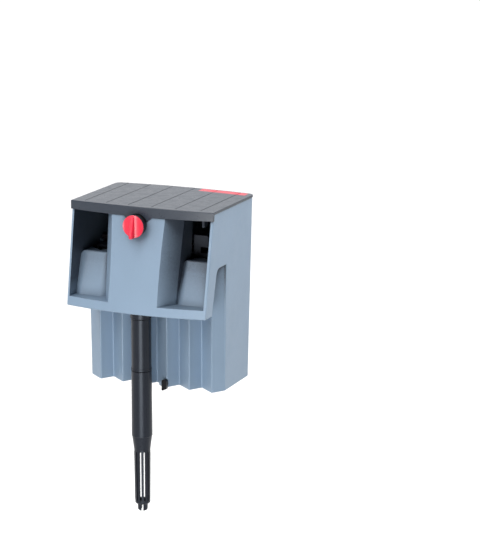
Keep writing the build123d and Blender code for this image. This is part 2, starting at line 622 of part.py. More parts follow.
def cartridge_rack():
    """Plate across the chamber with a barred window behind each cartridge."""
    plate = block((-70.2, 70.2), (RACK_Y, RACK_Y + 2.5), (BODY_BOTTOM + WALL + 0.3, 12.0))
    plate &= drafted_block(WALL + 0.4, BODY_BOTTOM, BODY_TOP, 3)
    for side in (-1, 1):
        centre = side * CARTRIDGE_X
        for row in range(7):
            low = CARTRIDGE_BOTTOM + 5 + row * 17.2
            for column_x in (-13.5, 13.5):
                middle = centre + column_x
                plate -= block((middle - 11.5, middle + 11.5), (RACK_Y - 2, RACK_Y + 5), (low, low + 14.4))
    return plate


def cartridge_frame(side):
    """Plastic frame round one filter cartridge, with a notched pull tab on top."""
    low_x, high_x = CARTRIDGE_X - CARTRIDGE_HALF_WIDTH, CARTRIDGE_X + CARTRIDGE_HALF_WIDTH
    depth = (CARTRIDGE_FRONT_Y, CARTRIDGE_BACK_Y)
    frame = block((low_x, high_x), depth, (CARTRIDGE_BOTTOM, CARTRIDGE_TOP))
    frame -= block((low_x + 2, high_x - 2), (0, 60), (CARTRIDGE_BOTTOM + 2, CARTRIDGE_TOP - 2))
    front = (CARTRIDGE_FRONT_Y, CARTRIDGE_FRONT_Y + 1.6)
    for i in range(1, 5):
        z = CARTRIDGE_BOTTOM + i * (CARTRIDGE_TOP - CARTRIDGE_BOTTOM) / 5
        frame += block((low_x + 1, high_x - 1), front, (z - 1, z + 1))
    frame += block((CARTRIDGE_X - 1, CARTRIDGE_X + 1), front, (CARTRIDGE_BOTTOM + 1, CARTRIDGE_TOP - 1))
    tab = block(TAB_X, (CARTRIDGE_FRONT_Y, CARTRIDGE_FRONT_Y + 2.0), (CARTRIDGE_TOP - 0.5, TAB_TOP))
    tab = fillet(tab.edges().filter_by(Axis.Y).group_by(Axis.Z)[-1], 1.0)
    frame += tab - block((TAB_X[0] + 7.0, TAB_X[1] + 5), (0, 60), (CARTRIDGE_TOP + 1.2, 13.5))
    return frame if side > 0 else mirror(frame, about=Plane.YZ)


def filter_pad(side):
    """Fleece pad in a cartridge frame, behind its bars."""
    pad = block((CARTRIDGE_X - 27.7, CARTRIDGE_X + 27.7), (CARTRIDGE_FRONT_Y + 1.9, CARTRIDGE_FRONT_Y + 8.0),
                (CARTRIDGE_BOTTOM + 2.3, CARTRIDGE_TOP - 2.3))
    return pad if side > 0 else mirror(pad, about=Plane.YZ)


def carbon_insert(side):
    """Bag of carbon grains behind the fleece."""
    bag = block((CARTRIDGE_X - 26.5, CARTRIDGE_X + 26.5), (CARTRIDGE_FRONT_Y + 8.4, CARTRIDGE_BACK_Y - 0.4),
                (CARTRIDGE_BOTTOM + 3.5, CARTRIDGE_TOP - 12))
    bag = fillet(bag.edges().filter_by(Axis.Y), 3.0)
    return bag if side > 0 else mirror(bag, about=Plane.YZ)


def levelling_spacer():
    """Push-in foot that sets the gap between the chamber and the tank glass."""
    bar = block((SPACER_X[0] + 0.6, SPACER_X[1] - 0.6), (RIDGE_Y - 1.5, SPACER_INNER_Y - 3), SPACER_BAR_Z)
    front = RIDGE_Y - 3.6
    middle = (SPACER_X[0] + SPACER_X[1]) / 2
    half = (SPACER_X[1] - SPACER_X[0]) / 2
    points = [(SPACER_X[0], SPACER_TOP), (SPACER_X[1], SPACER_TOP), (SPACER_X[1], SPACER_TOP - 6.6),
              (SPACER_X[0] + 1.2, SPACER_TOP - 8.8), (SPACER_X[0], SPACER_TOP - 8.0)]
    outline = Face(Wire.make_polygon([Vector(x, front, z) for x, z in points], close=True))
    head = extrude(outline, amount=SPACER_HEAD, dir=(0, 1, 0))
    return bar + head + rod_y(middle, SPACER_TOP, (front, front + SPACER_HEAD), half)


def cable_gland():
    """Rubber gland in the rear wall for the pump's cable."""
    wall_y = BACK_Y - BACK_DRAFT * (BODY_TOP - GLAND_Z)
    gland = rod_y(GLAND_X, GLAND_Z, (wall_y - WALL - 1.8, wall_y + 2.0), GLAND_RADIUS)
    gland += rod_y(GLAND_X, GLAND_Z, (wall_y + 0.3, wall_y + 2.0), GLAND_RADIUS + 1.4)
    gland += rod_y(GLAND_X, GLAND_Z, (wall_y - WALL - 1.8, wall_y - WALL - 0.2), GLAND_RADIUS + 1.0)
    return gland - rod_y(GLAND_X, GLAND_Z, (50, 90), CABLE_RADIUS)


def intake_collar():
    """Nut that clamps the intake to the underside of the front box."""
    nut = ring(INTAKE_X, INTAKE_Y, (COLLAR_BOTTOM, BOX_BOTTOM), COLLAR_RADIUS, SPIGOT_RADIUS)
    return chamfer(nut.edges().group_by(Axis.Z)[0], 0.5)


def intake_upper_tube():
    """Fixed upper length of the intake, with a spigot up into the collar and a bead round its lower end."""
    top = COLLAR_BOTTOM - 0.4
    tube = ring(INTAKE_X, INTAKE_Y, (JOINT_Z, top), TUBE_RADIUS, TUBE_RADIUS - TUBE_WALL)
    bead = ring(INTAKE_X, INTAKE_Y, (JOINT_Z, JOINT_Z + 1.8), TUBE_RADIUS + 0.35, TUBE_RADIUS - TUBE_WALL)
    neck = ring(INTAKE_X, INTAKE_Y, (top - 2.0, top), TUBE_RADIUS - 0.2, SUCTION_BORE)
    spigot = ring(INTAKE_X, INTAKE_Y, (top - 1.6, BOX_BOTTOM - 3.0), SPIGOT_RADIUS, SUCTION_BORE)
    return tube + bead + neck + spigot


def extension_tube():
    """Plug-in lower length of the intake, swelling and then tapering to the strainer."""
    inner = TUBE_RADIUS - TUBE_WALL
    spigot = ring(INTAKE_X, INTAKE_Y, (JOINT_Z - 1, JOINT_Z + SPIGOT_LENGTH), inner - 0.06, EXTENSION_BORE)
    neck = TUBE_RADIUS - 0.7
    profile = [(EXTENSION_BORE, JOINT_Z), (neck, JOINT_Z), (neck, JOINT_Z - 0.6),
               (TUBE_RADIUS + 0.2, JOINT_Z - 1.0), (FLARE_RADIUS, FLARE_Z + 6),
               (FLARE_RADIUS, FLARE_Z), (FLARE_RADIUS - 0.4, FLARE_Z - 0.3),
               (STRAINER_RADIUS, EXTENSION_END), (EXTENSION_BORE, EXTENSION_END), (EXTENSION_BORE, FLARE_Z),
               (inner, FLARE_Z + 4), (inner, JOINT_Z - 6)]
    wire = Wire.make_polygon([Vector(INTAKE_X + r, INTAKE_Y, z) for r, z in profile], close=True)
    body = revolve(Face(wire), axis=Axis((INTAKE_X, INTAKE_Y, 0), (0, 0, 1)))
    groove = ring(INTAKE_X, INTAKE_Y, (JOINT_Z + 10, JOINT_Z + 11.6), 12, inner - SEAL_DEPTH)
    return (body + spigot) - groove


def extension_o_ring():
    """Seal in the extension's groove."""
    inner = TUBE_RADIUS - TUBE_WALL
    return ring(INTAKE_X, INTAKE_Y, (JOINT_Z + 10.1, JOINT_Z + 11.5), inner - 0.04, inner - SEAL_DEPTH)


def strainer():
    """Slotted lower end, closed by four sprung prongs."""
    spigot, top = EXTENSION_BORE - 0.06, EXTENSION_END + 12
    shoulder = STRAINER_SHOULDER
    profile = [(STRAINER_BORE, top), (spigot, top), (spigot, EXTENSION_END),
               (STRAINER_RADIUS, EXTENSION_END), (7.5, shoulder + 1), (6.8, shoulder),
               (PRONG_RADIUS + 0.1, shoulder - 0.2),
               (PRONG_RADIUS, TIP_Z + 1.2), (PRONG_RADIUS - 0.8, TIP_Z), (2.8, TIP_Z), (3.0, shoulder),
               (STRAINER_BORE, shoulder + 2.6)]
    wire = Wire.make_polygon([Vector(INTAKE_X + r, INTAKE_Y, z) for r, z in profile], close=True)
    body = revolve(Face(wire), axis=Axis((INTAKE_X, INTAKE_Y, 0), (0, 0, 1)))
    axis_pose = Pos(INTAKE_X, INTAKE_Y, 0)
    slit = block((4, 12), (-SLIT_WIDTH / 2, SLIT_WIDTH / 2), (SLIT_BOTTOM, SLIT_TOP))
    for i in range(SLITS):
        body -= axis_pose * Rot(0, 0, SLIT_TURN + i * 360 / SLITS) * slit
    gap = block((1, 12), (-0.9, 0.9), (TIP_Z - 1, shoulder - 0.6))
    for i in range(PRONGS):
        body -= axis_pose * Rot(0, 0, PRONG_TURN + i * 360 / PRONGS) * gap
    return body


NODES = {
    "filter_housing": filter_housing(),
    "lid": lid(),
    "flow_knob": flow_knob(),
    "knob_bezel": knob_bezel(),
    "spindle_seal": spindle_seal(),
    "valve_spindle": valve_spindle(),
    "throttle_gate": throttle_gate(),
    "valve_body": valve_body(),
    "volute": volute(),
    "suction_duct": suction_duct(),
    "volute_seal": volute_seal(),
    "motor_housing": motor_housing(),
    "stator_core": stator_core(),
    "stator_coils": stator_coils(),
    "rotor_magnet": rotor_magnet(),
    "impeller": impeller(),
    "impeller_shaft": impeller_shaft(),
    "lower_shaft_bush": shaft_bush(0.8, 2.6, 1.5),
    "upper_shaft_bush": upper_bush(),
    "riser_tube": riser_tube(),
    "pump_pads": pump_pads(),
    "delivery_chute": delivery_chute(),
    "cartridge_rack": cartridge_rack(),
    "cartridge_frame_left": cartridge_frame(-1),
    "cartridge_frame_right": cartridge_frame(1),
    "filter_pad_left": filter_pad(-1),
    "filter_pad_right": filter_pad(1),
    "carbon_insert_left": carbon_insert(-1),
    "carbon_insert_right": carbon_insert(1),
    "levelling_spacer": levelling_spacer(),
    "cable_gland": cable_gland(),
    "intake_collar": intake_collar(),
    "intake_upper_tube": intake_upper_tube(),
    "intake_extension": extension_tube(),
    "extension_o_ring": extension_o_ring(),
    "intake_strainer": strainer(),
}

os.makedirs("parts", exist_ok=True)
for name, shape in NODES.items():
    solids = shape if isinstance(shape, list) else shape.solids()
    whole = solids[0] if len(solids) == 1 else Compound(children=[s.solid() for s in solids])
    export_step(whole, f"parts/{name}.step")
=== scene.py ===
"""Looks of the hang-on-back filter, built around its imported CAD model."""

import json
from math import cos, radians, sin

import bmesh
import bpy
from mathutils import Matrix, Vector, noise


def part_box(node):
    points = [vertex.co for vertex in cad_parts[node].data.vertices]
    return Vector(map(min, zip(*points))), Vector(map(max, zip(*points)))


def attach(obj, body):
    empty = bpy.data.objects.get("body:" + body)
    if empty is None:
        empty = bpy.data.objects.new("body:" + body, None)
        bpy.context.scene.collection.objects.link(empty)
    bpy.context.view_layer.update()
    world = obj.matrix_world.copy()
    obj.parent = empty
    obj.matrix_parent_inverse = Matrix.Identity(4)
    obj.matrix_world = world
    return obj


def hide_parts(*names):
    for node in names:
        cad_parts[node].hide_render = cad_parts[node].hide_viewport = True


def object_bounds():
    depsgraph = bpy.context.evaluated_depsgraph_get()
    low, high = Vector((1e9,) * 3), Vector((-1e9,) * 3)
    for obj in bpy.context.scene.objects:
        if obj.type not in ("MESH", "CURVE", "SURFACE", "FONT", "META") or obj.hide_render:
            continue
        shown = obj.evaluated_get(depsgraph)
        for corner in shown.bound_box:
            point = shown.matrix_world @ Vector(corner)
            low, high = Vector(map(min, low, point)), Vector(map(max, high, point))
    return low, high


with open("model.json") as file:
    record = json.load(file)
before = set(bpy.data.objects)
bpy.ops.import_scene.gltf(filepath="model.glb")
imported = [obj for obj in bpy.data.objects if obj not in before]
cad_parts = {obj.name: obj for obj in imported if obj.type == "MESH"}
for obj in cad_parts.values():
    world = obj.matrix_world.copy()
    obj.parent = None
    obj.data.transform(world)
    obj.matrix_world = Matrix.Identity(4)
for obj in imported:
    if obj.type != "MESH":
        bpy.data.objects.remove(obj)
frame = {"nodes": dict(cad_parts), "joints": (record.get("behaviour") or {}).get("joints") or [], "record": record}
cad_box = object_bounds()

MM = 0.001

# Camera, in the frame's metres and degrees: it stands in front of the filter, to the right of it and above
# it, and looks slightly down
CAMERA_PLACE = (0.8332, -1.7117, 0.4474)
CAMERA_YAW = 23.40
CAMERA_PITCH = -13.69
CAMERA_ROLL = 0.136
LENS = 131.6
CAMERA_CLIP_END = 100

# The filter hangs from a rim, so the floor is well below it
FLOOR_GAP = 150 * MM
FLOOR_RADIUS = 30.0

# Surroundings: the lit backdrop's direction, how bright it is there and opposite, and between which cosines
# to that direction the brightness changes
BACKDROP = (-0.40, 0.92, 0.0)
BACK_LEVEL = 1.0
FRONT_LEVEL = 0.0
BACKDROP_TURN = (-0.3, 0.75)

# Softboxes, all turned to the filter's middle: place, side and power
SOFTBOXES = {
    "front_left": ((-0.68, -1.78, 1.05), 1.0, 14),
    "high_front": ((-0.30, -1.06, 1.85), 1.0, 14),
    "low_front": ((0.287, -0.885, -0.23), 0.5, 6.3),
    "rear_right": ((0.86, 0.30, 0.66), 0.5, 6.4),
}

# Overhead sun: the way it shines, its strength, and its width in degrees, which makes its shadows soft
SUN_DIRECTION = (0.08, -0.36, -0.93)
SUN_STRENGTH = 2.7
SUN_WIDTH = 50

# Moulded plastic: how many times per metre each variation of the surface repeats
DRIFT_SCALE = 28
SPECK_SCALE = 2600
WEAR_SCALE = 90
GLOSS_SCALE = 140
FINE_GLOSS_SCALE = 900
WARP_SCALE = 18

# Moulded plastic: reach of worn edges and of painted corner shade, softness of edges, and tone of specks and of
# that shade
WEAR_REACH = 0.5 * MM
CORNER_SHADE_REACH = 12 * MM
EDGE_SOFTNESS = 0.35 * MM
SPECK_SHARE = 0.10
SPECK_TONE = 0.72
CORNER_SHADE_TONE = 0.45

# Painted shade in the casing's hollow bays: how far it reaches, between which openness it fades out, between
# which heights it sets in, and its colour
BAY_REACH = 60 * MM
BAY_OPENNESS = (0.54, 0.98)
BAY_FADE = (-52 * MM, 0.0)
BAY_SHADE_COLOUR = (0.036, 0.048, 0.068)

# The same painted shade's strength on faces that look right, reached between two X parts of the normal, and
# on the filter's right half, reached between two places
BAY_FACING = 1.6
BAY_FACING_NORMAL = (-0.7, 0.8)
BAY_RIGHT = 1.2
BAY_RIGHT_X = (0.0, 20 * MM)

# Lid: the printed stripe, its ends, its width, its distance from the rear edge, its height above and below
# the lid's top, and the width of its soft edge
STRIPE_X = (20 * MM, 70 * MM)
STRIPE_WIDTH = 10.5 * MM
STRIPE_REAR = 2.0 * MM
STRIPE_HEIGHT = 4 * MM
STRIPE_EDGE = 0.3 * MM
STRIPE_RED = (0.62, 0.020, 0.050)

# Soft pieces: welded rims, sewn seams, and the cloth that swells
SOFT_VOXEL = 1.8 * MM
RIM_WIDTH = 1.8 * MM
RIM_SHARE = 0.30
SEAM_REACH = 4.5 * MM
SEAM_SHARE = 0.45
CARBON_SEAMS = (0.34, 0.67)
CLOTH_FRAMES = 20
CLOTH_PRESSURE = 4.0
CLOTH_MASS = 2.5


# ---------------------------------------------------------------- materials

class Graph:
    """A material's node tree, with short calls for the nodes that several finishes share."""

    def __init__(self, name):
        self.material = bpy.data.materials.new(name)
        self.material.use_nodes = True
        self.tree = self.material.node_tree
        self.shader = self.tree.nodes["Principled BSDF"]
        self.place = self.node("ShaderNodeTexCoord").outputs["Object"]

    def node(self, kind, **settings):
        made = self.tree.nodes.new(kind)
        for key, value in settings.items():
            setattr(made, key, value)
        return made

    def link(self, source, target):
        self.tree.links.new(source, target)

    def scaled(self, x, y, z):
        """The object's coordinates, stretched."""
        mapping = self.node("ShaderNodeMapping")
        mapping.inputs["Scale"].default_value = (x, y, z)
        self.link(self.place, mapping.inputs["Vector"])
        return mapping.outputs["Vector"]

    def noise(self, scale, detail=2.0, roughness=0.5, place=None, distortion=0.0):
        made = self.node("ShaderNodeTexNoise")
        made.inputs["Scale"].default_value = scale
        made.inputs["Detail"].default_value = detail
        made.inputs["Roughness"].default_value = roughness
        made.inputs["Distortion"].default_value = distortion
        self.link(place or self.place, made.inputs["Vector"])
        return made.outputs["Fac"]

    def cells(self, scale):
        made = self.node("ShaderNodeTexVoronoi")
        made.inputs["Scale"].default_value = scale
        self.link(self.place, made.inputs["Vector"])
        return made.outputs["Distance"]

    def bands(self, scale, direction, distortion=0.0):
        made = self.node("ShaderNodeTexWave", bands_direction=direction)
        made.inputs["Scale"].default_value = scale
        made.inputs["Distortion"].default_value = distortion
        self.link(self.place, made.inputs["Vector"])
        return made.outputs["Fac"]

    def spread(self, value, low, high, from_low=0.3, from_high=0.7):
        """A value that lies mostly between two levels, spread between two others."""
        made = self.node("ShaderNodeMapRange")
        for key, number in (("From Min", from_low), ("From Max", from_high),
                            ("To Min", low), ("To Max", high)):
            made.inputs[key].default_value = number
        self.link(value, made.inputs["Value"])
        return made.outputs["Result"]

    def math(self, operation, a, b):
        made = self.node("ShaderNodeMath", operation=operation)
        for i, value in enumerate((a, b)):
            if isinstance(value, (int, float)):
                made.inputs[i].default_value = value
            else:
                self.link(value, made.inputs[i])
        return made.outputs["Value"]

    def mix(self, share, first, second):
        """Blend of two colours, each a colour or a node's output."""
        made = self.node("ShaderNodeMix", data_type="RGBA")
        self.link(share, made.inputs["Factor"])
        for key, value in (("A", first), ("B", second)):
            socket = next(s for s in made.inputs if s.name == key and s.type == "RGBA")
            if isinstance(value, tuple):
                socket.default_value = (*value, 1.0)
            else:
                self.link(value, socket)
        return next(s for s in made.outputs if s.type == "RGBA")

    def bump(self, height, depth, strength=1.0, normal=None):
        made = self.node("ShaderNodeBump")
        made.inputs["Distance"].default_value = depth
        made.inputs["Strength"].default_value = strength
        self.link(height, made.inputs["Height"])
        if normal is not None:
            self.link(normal, made.inputs["Normal"])
        return made.outputs["Normal"]

    def soft_edge(self, radius):
        """Normal that turns softly over an edge of that radius."""
        made = self.node("ShaderNodeBevel", samples=4)
        made.inputs["Radius"].default_value = radius
        return made.outputs["Normal"]

    def edge_share(self, radius):
        """One on sharp edges, nought on flat faces."""
        dot = self.node("ShaderNodeVectorMath", operation="DOT_PRODUCT")
        self.link(self.soft_edge(radius), dot.inputs[0])
        self.link(self.node("ShaderNodeNewGeometry").outputs["Normal"], dot.inputs[1])
        return self.spread(dot.outputs["Value"], 1.0, 0.0, 0.80, 0.995)

    def hollow_share(self, distance, closed=0.25, free=0.85):
        """One in deep corners, nought on open faces."""
        made = self.node("ShaderNodeAmbientOcclusion", samples=8)
        made.inputs["Distance"].default_value = distance
        return self.spread(made.outputs["AO"], 1.0, 0.0, closed, free)

    def part(self, vector, axis):
        """One of a vector's three parts."""
        split = self.node("ShaderNodeSeparateXYZ")
        self.link(vector, split.inputs["Vector"])
        return split.outputs[axis]

    def along(self, axis, low, high):
        """Nought below one place on an axis of the object, one above another."""
        return self.spread(self.part(self.place, axis), 0.0, 1.0, low, high)

    def patch(self, limits, edge):
        """One inside a rectangular patch, given as an axis and two places on it, with edges that wide."""
        share = None
        for axis, low, high in limits:
            inside = self.math("MULTIPLY", self.along(axis, low, low + edge),
                               self.along(axis, high, high - edge))
            share = inside if share is None else self.math("MULTIPLY", share, inside)
        return share

    def finish(self, colour=None, roughness=None, normal=None, **values):
        """Joins the outputs to the shader. What is the same all over is set on its own socket."""
        for key, value in (("Base Color", colour), ("Roughness", roughness), ("Normal", normal)):
            if isinstance(value, (int, float)):
                self.shader.inputs[key].default_value = value
            elif isinstance(value, tuple):
                self.shader.inputs[key].default_value = (*value, 1.0)
            elif value is not None:
                self.link(value, self.shader.inputs[key])
        for key, value in values.items():
            self.shader.inputs[key.replace("_", " ")].default_value = value
        return self.material


def shade(colour, factor):
    return tuple(min(1.0, c * factor) for c in colour)


def moulded(name, colour, roughness, grain, depth, edge, variation, corner_shade=0.0, wave=0.25, print_and_painted_shade=None,
            **values):
    """Moulded plastic: eroded grain, slow colour drift, edges rubbed lighter, painted shade in corners."""
    g = Graph(name)
    drift = g.noise(DRIFT_SCALE, 3)
    tone = g.mix(g.spread(drift, 0, 1), shade(colour, 1 - variation), shade(colour, 1 + variation))
    speck = g.spread(g.noise(SPECK_SCALE, 1), 0, 1, 0.35, 0.65)
    tone = g.mix(g.math("MULTIPLY", speck, SPECK_SHARE), tone, shade(colour, SPECK_TONE))
    worn = g.math("MULTIPLY", g.edge_share(WEAR_REACH), g.spread(g.noise(WEAR_SCALE, 3), 0.25, 0.9))
    tone = g.mix(worn, tone, shade(colour, edge))
    # Painted shade: the colour turns darker in corners and hollows that ambient occlusion finds
    if corner_shade:
        corner_shade_mask = g.math("MULTIPLY", g.hollow_share(CORNER_SHADE_REACH), corner_shade)
        tone = g.mix(corner_shade_mask, tone, shade(colour, CORNER_SHADE_TONE))
    # Laid over the colour: a printed mark, and on the casing painted shade in its hollow bays
    if print_and_painted_shade:
        tone = print_and_painted_shade(g, tone)
    rough = g.math("ADD", g.spread(g.noise(GLOSS_SCALE, 3), roughness - 0.05, roughness + 0.05),
                   g.spread(g.noise(FINE_GLOSS_SCALE, 2), -0.03, 0.03))
    fine = g.bump(g.noise(grain, 3, 0.6), depth, 1.0, g.soft_edge(EDGE_SOFTNESS))
    slow = g.bump(g.noise(WARP_SCALE, 1), wave * MM, 0.35, fine)
    return g.finish(tone, rough, slow, **values)


def painted_bay_shade(g, tone):
    """Paints shade into the hollow bays of the box, most of all the right one and faces that look to the right."""
    share = g.math("MULTIPLY", g.hollow_share(BAY_REACH, *BAY_OPENNESS), g.along("Z", *BAY_FADE))
    normal = g.node("ShaderNodeNewGeometry").outputs["Normal"]
    strength = g.math("MAXIMUM", g.spread(g.part(normal, "X"), 0.0, BAY_FACING, *BAY_FACING_NORMAL),
                      g.math("MULTIPLY", g.along("X", *BAY_RIGHT_X), BAY_RIGHT))
    return g.mix(g.math("MULTIPLY", share, strength), tone, BAY_SHADE_COLOUR)


def stripe(g, tone):
    """Plain printed stripe on the lid, a little rubbed."""
    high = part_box("lid")[1]
    limits = (("X", *STRIPE_X),
              ("Y", high.y - STRIPE_REAR - STRIPE_WIDTH, high.y - STRIPE_REAR),
              ("Z", high.z - STRIPE_HEIGHT, high.z + STRIPE_HEIGHT))
    ink = g.math("MULTIPLY", g.patch(limits, STRIPE_EDGE), g.spread(g.noise(700, 3), 0.82, 1.0))
    return g.mix(ink, tone, STRIPE_RED)


def casing():
    # The casing's colour carries painted shade in its corners and, more deeply, in its hollow bays
    return moulded("casing", (0.298, 0.410, 0.545), roughness=0.44, grain=1500, depth=0.045 * MM, edge=1.10,
                   variation=0.02, corner_shade=0.25, wave=0.1, print_and_painted_shade=painted_bay_shade, IOR=1.5)


def lid_plastic():
    """The lid's dark plastic, with a plain red stripe printed at the rear right."""
    return moulded("lid_plastic", (0.036, 0.047, 0.067), roughness=0.33, grain=1300, depth=0.06 * MM,
                   edge=1.2, variation=0.04, corner_shade=0.25, print_and_painted_shade=stripe, IOR=1.48)


def knob_red():
    return moulded("knob_red", (0.98, 0.024, 0.070), roughness=0.36, grain=1800, depth=0.015 * MM,
                   edge=1.15, variation=0.04, IOR=1.5, Coat_Weight=0.3, Coat_Roughness=0.25,
                   Subsurface_Weight=0.06)


def black_plastic():
    return moulded("black_plastic", (0.008, 0.009, 0.012), roughness=0.42, grain=1600, depth=0.03 * MM,
                   edge=1.5, variation=0.06, IOR=1.4)


def tube_plastic():
    """Extruded tube: glossy black, with faint lines drawn along it and a little dust."""
    g = Graph("tube_plastic")
    lines = g.noise(1500, 2, 0.6, g.scaled(1.0, 1.0, 0.03))
    dust = g.spread(g.noise(1100, 3, 0.6), 0, 0.12, 0.5, 0.75)
    tone = g.mix(g.spread(lines, 0, 1), (0.007, 0.008, 0.013), (0.010, 0.011, 0.017))
    tone = g.mix(dust, tone, (0.06, 0.07, 0.09))
    normal = g.bump(lines, 0.004 * MM, 0.5, g.soft_edge(0.3 * MM))
    return g.finish(tone, g.spread(lines, 0.27, 0.31), normal, IOR=1.33,
                    Specular_Tint=(0.78, 0.88, 1.0, 1.0))


def inner_plastic():
    return moulded("inner_plastic", (0.013, 0.009, 0.012), roughness=0.55, grain=1400, depth=0.04 * MM,
                   edge=1.3, variation=0.05, corner_shade=0.5, IOR=1.3)


def cartridge_plastic():
    return moulded("cartridge_plastic", (0.024, 0.029, 0.040), roughness=0.50, grain=1400, depth=0.03 * MM,
                   edge=1.25, variation=0.04, corner_shade=0.4, IOR=1.35)


def pump_plastic():
    return moulded("pump_plastic", (0.010, 0.011, 0.014), roughness=0.42, grain=1500, depth=0.02 * MM,
                   edge=1.6, variation=0.06, IOR=1.4)


def impeller_plastic():
    return moulded("impeller_plastic", (0.66, 0.67, 0.65), roughness=0.38, grain=1700, depth=0.015 * MM,
                   edge=1.1, variation=0.03, corner_shade=0.1)


def seal_rubber():
    """Moulded rubber: matt, with bloom and a fine tooth."""
    g = Graph("seal_rubber")
    bloom = g.spread(g.noise(240, 4, 0.6), 0, 0.7)
    tone = g.mix(bloom, (0.012, 0.012, 0.013), (0.034, 0.034, 0.036))
    normal = g.bump(g.noise(2400, 3), 0.03 * MM, 1.0, g.soft_edge(0.25 * MM))
    return g.finish(tone, g.spread(g.noise(400), 0.62, 0.80), normal, Sheen_Weight=0.15)


def core_steel():
    """Stack of stamped sheets, each edge a fine line."""
    g = Graph("core_steel")
    sheets = g.bands(1200, "Y")
    tone = g.mix(g.spread(sheets, 0, 1), (0.16, 0.16, 0.17), (0.42, 0.42, 0.44))
    tone = g.mix(g.spread(g.noise(160, 4), 0, 0.5), tone, (0.20, 0.13, 0.09))
    normal = g.bump(sheets, 0.04 * MM, 1.0, g.soft_edge(0.2 * MM))
    return g.finish(tone, g.spread(g.noise(300), 0.32, 0.5), normal, Metallic=1.0)


def winding_copper():
    """Turns of enamelled wire, side by side."""
    g = Graph("winding_copper")
    turns = g.bands(900, "Z", 0.6)
    tone = g.mix(g.spread(turns, 0, 1), (0.20, 0.05, 0.02), (0.72, 0.26, 0.09))
    tone = g.mix(g.spread(g.noise(120, 3), 0, 0.35), tone, (0.45, 0.12, 0.03))
    return g.finish(tone, g.spread(g.noise(500), 0.2, 0.34), g.bump(turns, 0.12 * MM), Metallic=0.9,
                    Coat_Weight=0.5)


def magnet():
    """Sintered ferrite, grey and finely pitted."""
    g = Graph("magnet")
    pits = g.cells(1500)
    tone = g.mix(g.spread(pits, 0, 1, 0.0, 0.6), (0.018, 0.018, 0.020), (0.075, 0.075, 0.080))
    return g.finish(tone, g.spread(g.noise(350, 3), 0.45, 0.62), g.bump(pits, 0.05 * MM), Metallic=0.3)


def shaft_ceramic():
    g = Graph("shaft_ceramic")
    tone = g.mix(g.spread(g.noise(300, 3), 0, 1), (0.70, 0.70, 0.66), (0.84, 0.84, 0.81))
    return g.finish(tone, g.spread(g.noise(700), 0.10, 0.2), g.bump(g.noise(1800), 0.006 * MM))


def filter_fleece():
    """Needled fleece: charcoal fibres that lie crosswise, with needle dimples."""
    g = Graph("filter_fleece")
    across = g.noise(420, 4, 0.7, g.scaled(1.0, 1.0, 7.0), 1.2)
    along = g.noise(420, 4, 0.7, g.scaled(7.0, 1.0, 1.0), 1.2)
    fibres = g.math("MAXIMUM", across, along)
    dimples = g.spread(g.cells(380), 0, 1, 0.0, 0.45)
    tone = g.mix(g.spread(fibres, 0, 1), (0.020, 0.022, 0.026), (0.085, 0.090, 0.100))
    tone = g.mix(g.spread(g.noise(40, 3), 0, 0.35), tone, (0.060, 0.058, 0.050))
    normal = g.bump(dimples, 0.20 * MM, 0.8, g.bump(fibres, 0.30 * MM))
    return g.finish(tone, 0.92, normal, Sheen_Weight=0.35, Sheen_Roughness=0.5)


def carbon_bag():
    """Knitted net over carbon grains."""
    g = Graph("carbon_bag")
    warp = g.bands(330, "X")
    weft = g.bands(330, "Z")
    net = g.spread(g.math("MAXIMUM", warp, weft), 0, 1, 0.80, 0.93)
    grains = g.spread(g.cells(520), 0, 1, 0.0, 0.6)
    coal = g.mix(grains, (0.035, 0.035, 0.037), (0.006, 0.006, 0.007))
    tone = g.mix(net, coal, (0.62, 0.65, 0.66))
    normal = g.bump(net, 0.25 * MM, 1.0, g.bump(grains, 0.5 * MM))
    return g.finish(tone, g.spread(g.noise(600), 0.55, 0.85), normal, Sheen_Weight=0.2)


FINISHES = {
    "casing": casing, "lid_plastic": lid_plastic, "knob_red": knob_red, "black_plastic": black_plastic,
    "tube_plastic": tube_plastic, "seal_rubber": seal_rubber, "inner_plastic": inner_plastic,
    "pump_plastic": pump_plastic, "core_steel": core_steel, "winding_copper": winding_copper,
    "magnet": magnet, "impeller_plastic": impeller_plastic, "shaft_ceramic": shaft_ceramic,
    "cartridge_plastic": cartridge_plastic, "filter_fleece": filter_fleece, "carbon_bag": carbon_bag,
}


def dress_cad_nodes():
    """Gives every CAD node the finish of its material slot."""
    finishes = {slot: make() for slot, make in FINISHES.items()}
    for subpart in frame["record"]["subparts"]:
        materials = frame["nodes"][subpart["node"]].data.materials
        finish = finishes[subpart["material_slot"]]
        for i in range(len(materials)):
            materials[i] = finish
    return finishes


# ---------------------------------------------------------------- soft pieces

def evaluated_mesh(obj):
    graph = bpy.context.evaluated_depsgraph_get()
    return bpy.data.meshes.new_from_object(obj.evaluated_get(graph))


def bake_modifiers(obj):
    """Keeps the shape that the modifiers give, without the modifiers."""
    mesh = evaluated_mesh(obj)
    obj.modifiers.clear()
    obj.data = mesh


def soft_block(name, low, high):
    """Closed block between two corners, remeshed finely enough to swell."""
    bm = bmesh.new()
    bmesh.ops.create_cube(bm, size=1.0)
    fit = Matrix.Translation((low + high) / 2) @ Matrix.Diagonal((*(high - low), 1))
    bmesh.ops.transform(bm, matrix=fit, verts=bm.verts)
    mesh = bpy.data.meshes.new(name)
    bm.to_mesh(mesh)
    bm.free()
    obj = bpy.data.objects.new(name, mesh)
    bpy.context.scene.collection.objects.link(obj)
    remesh = obj.modifiers.new("even", "REMESH")
    remesh.mode = "VOXEL"
    remesh.voxel_size = SOFT_VOXEL
    bake_modifiers(obj)
    return obj


def ease(value):
    """Nought to one, level at both ends."""
    value = min(1.0, max(0.0, value))
    return value * value * (3 - 2 * value)


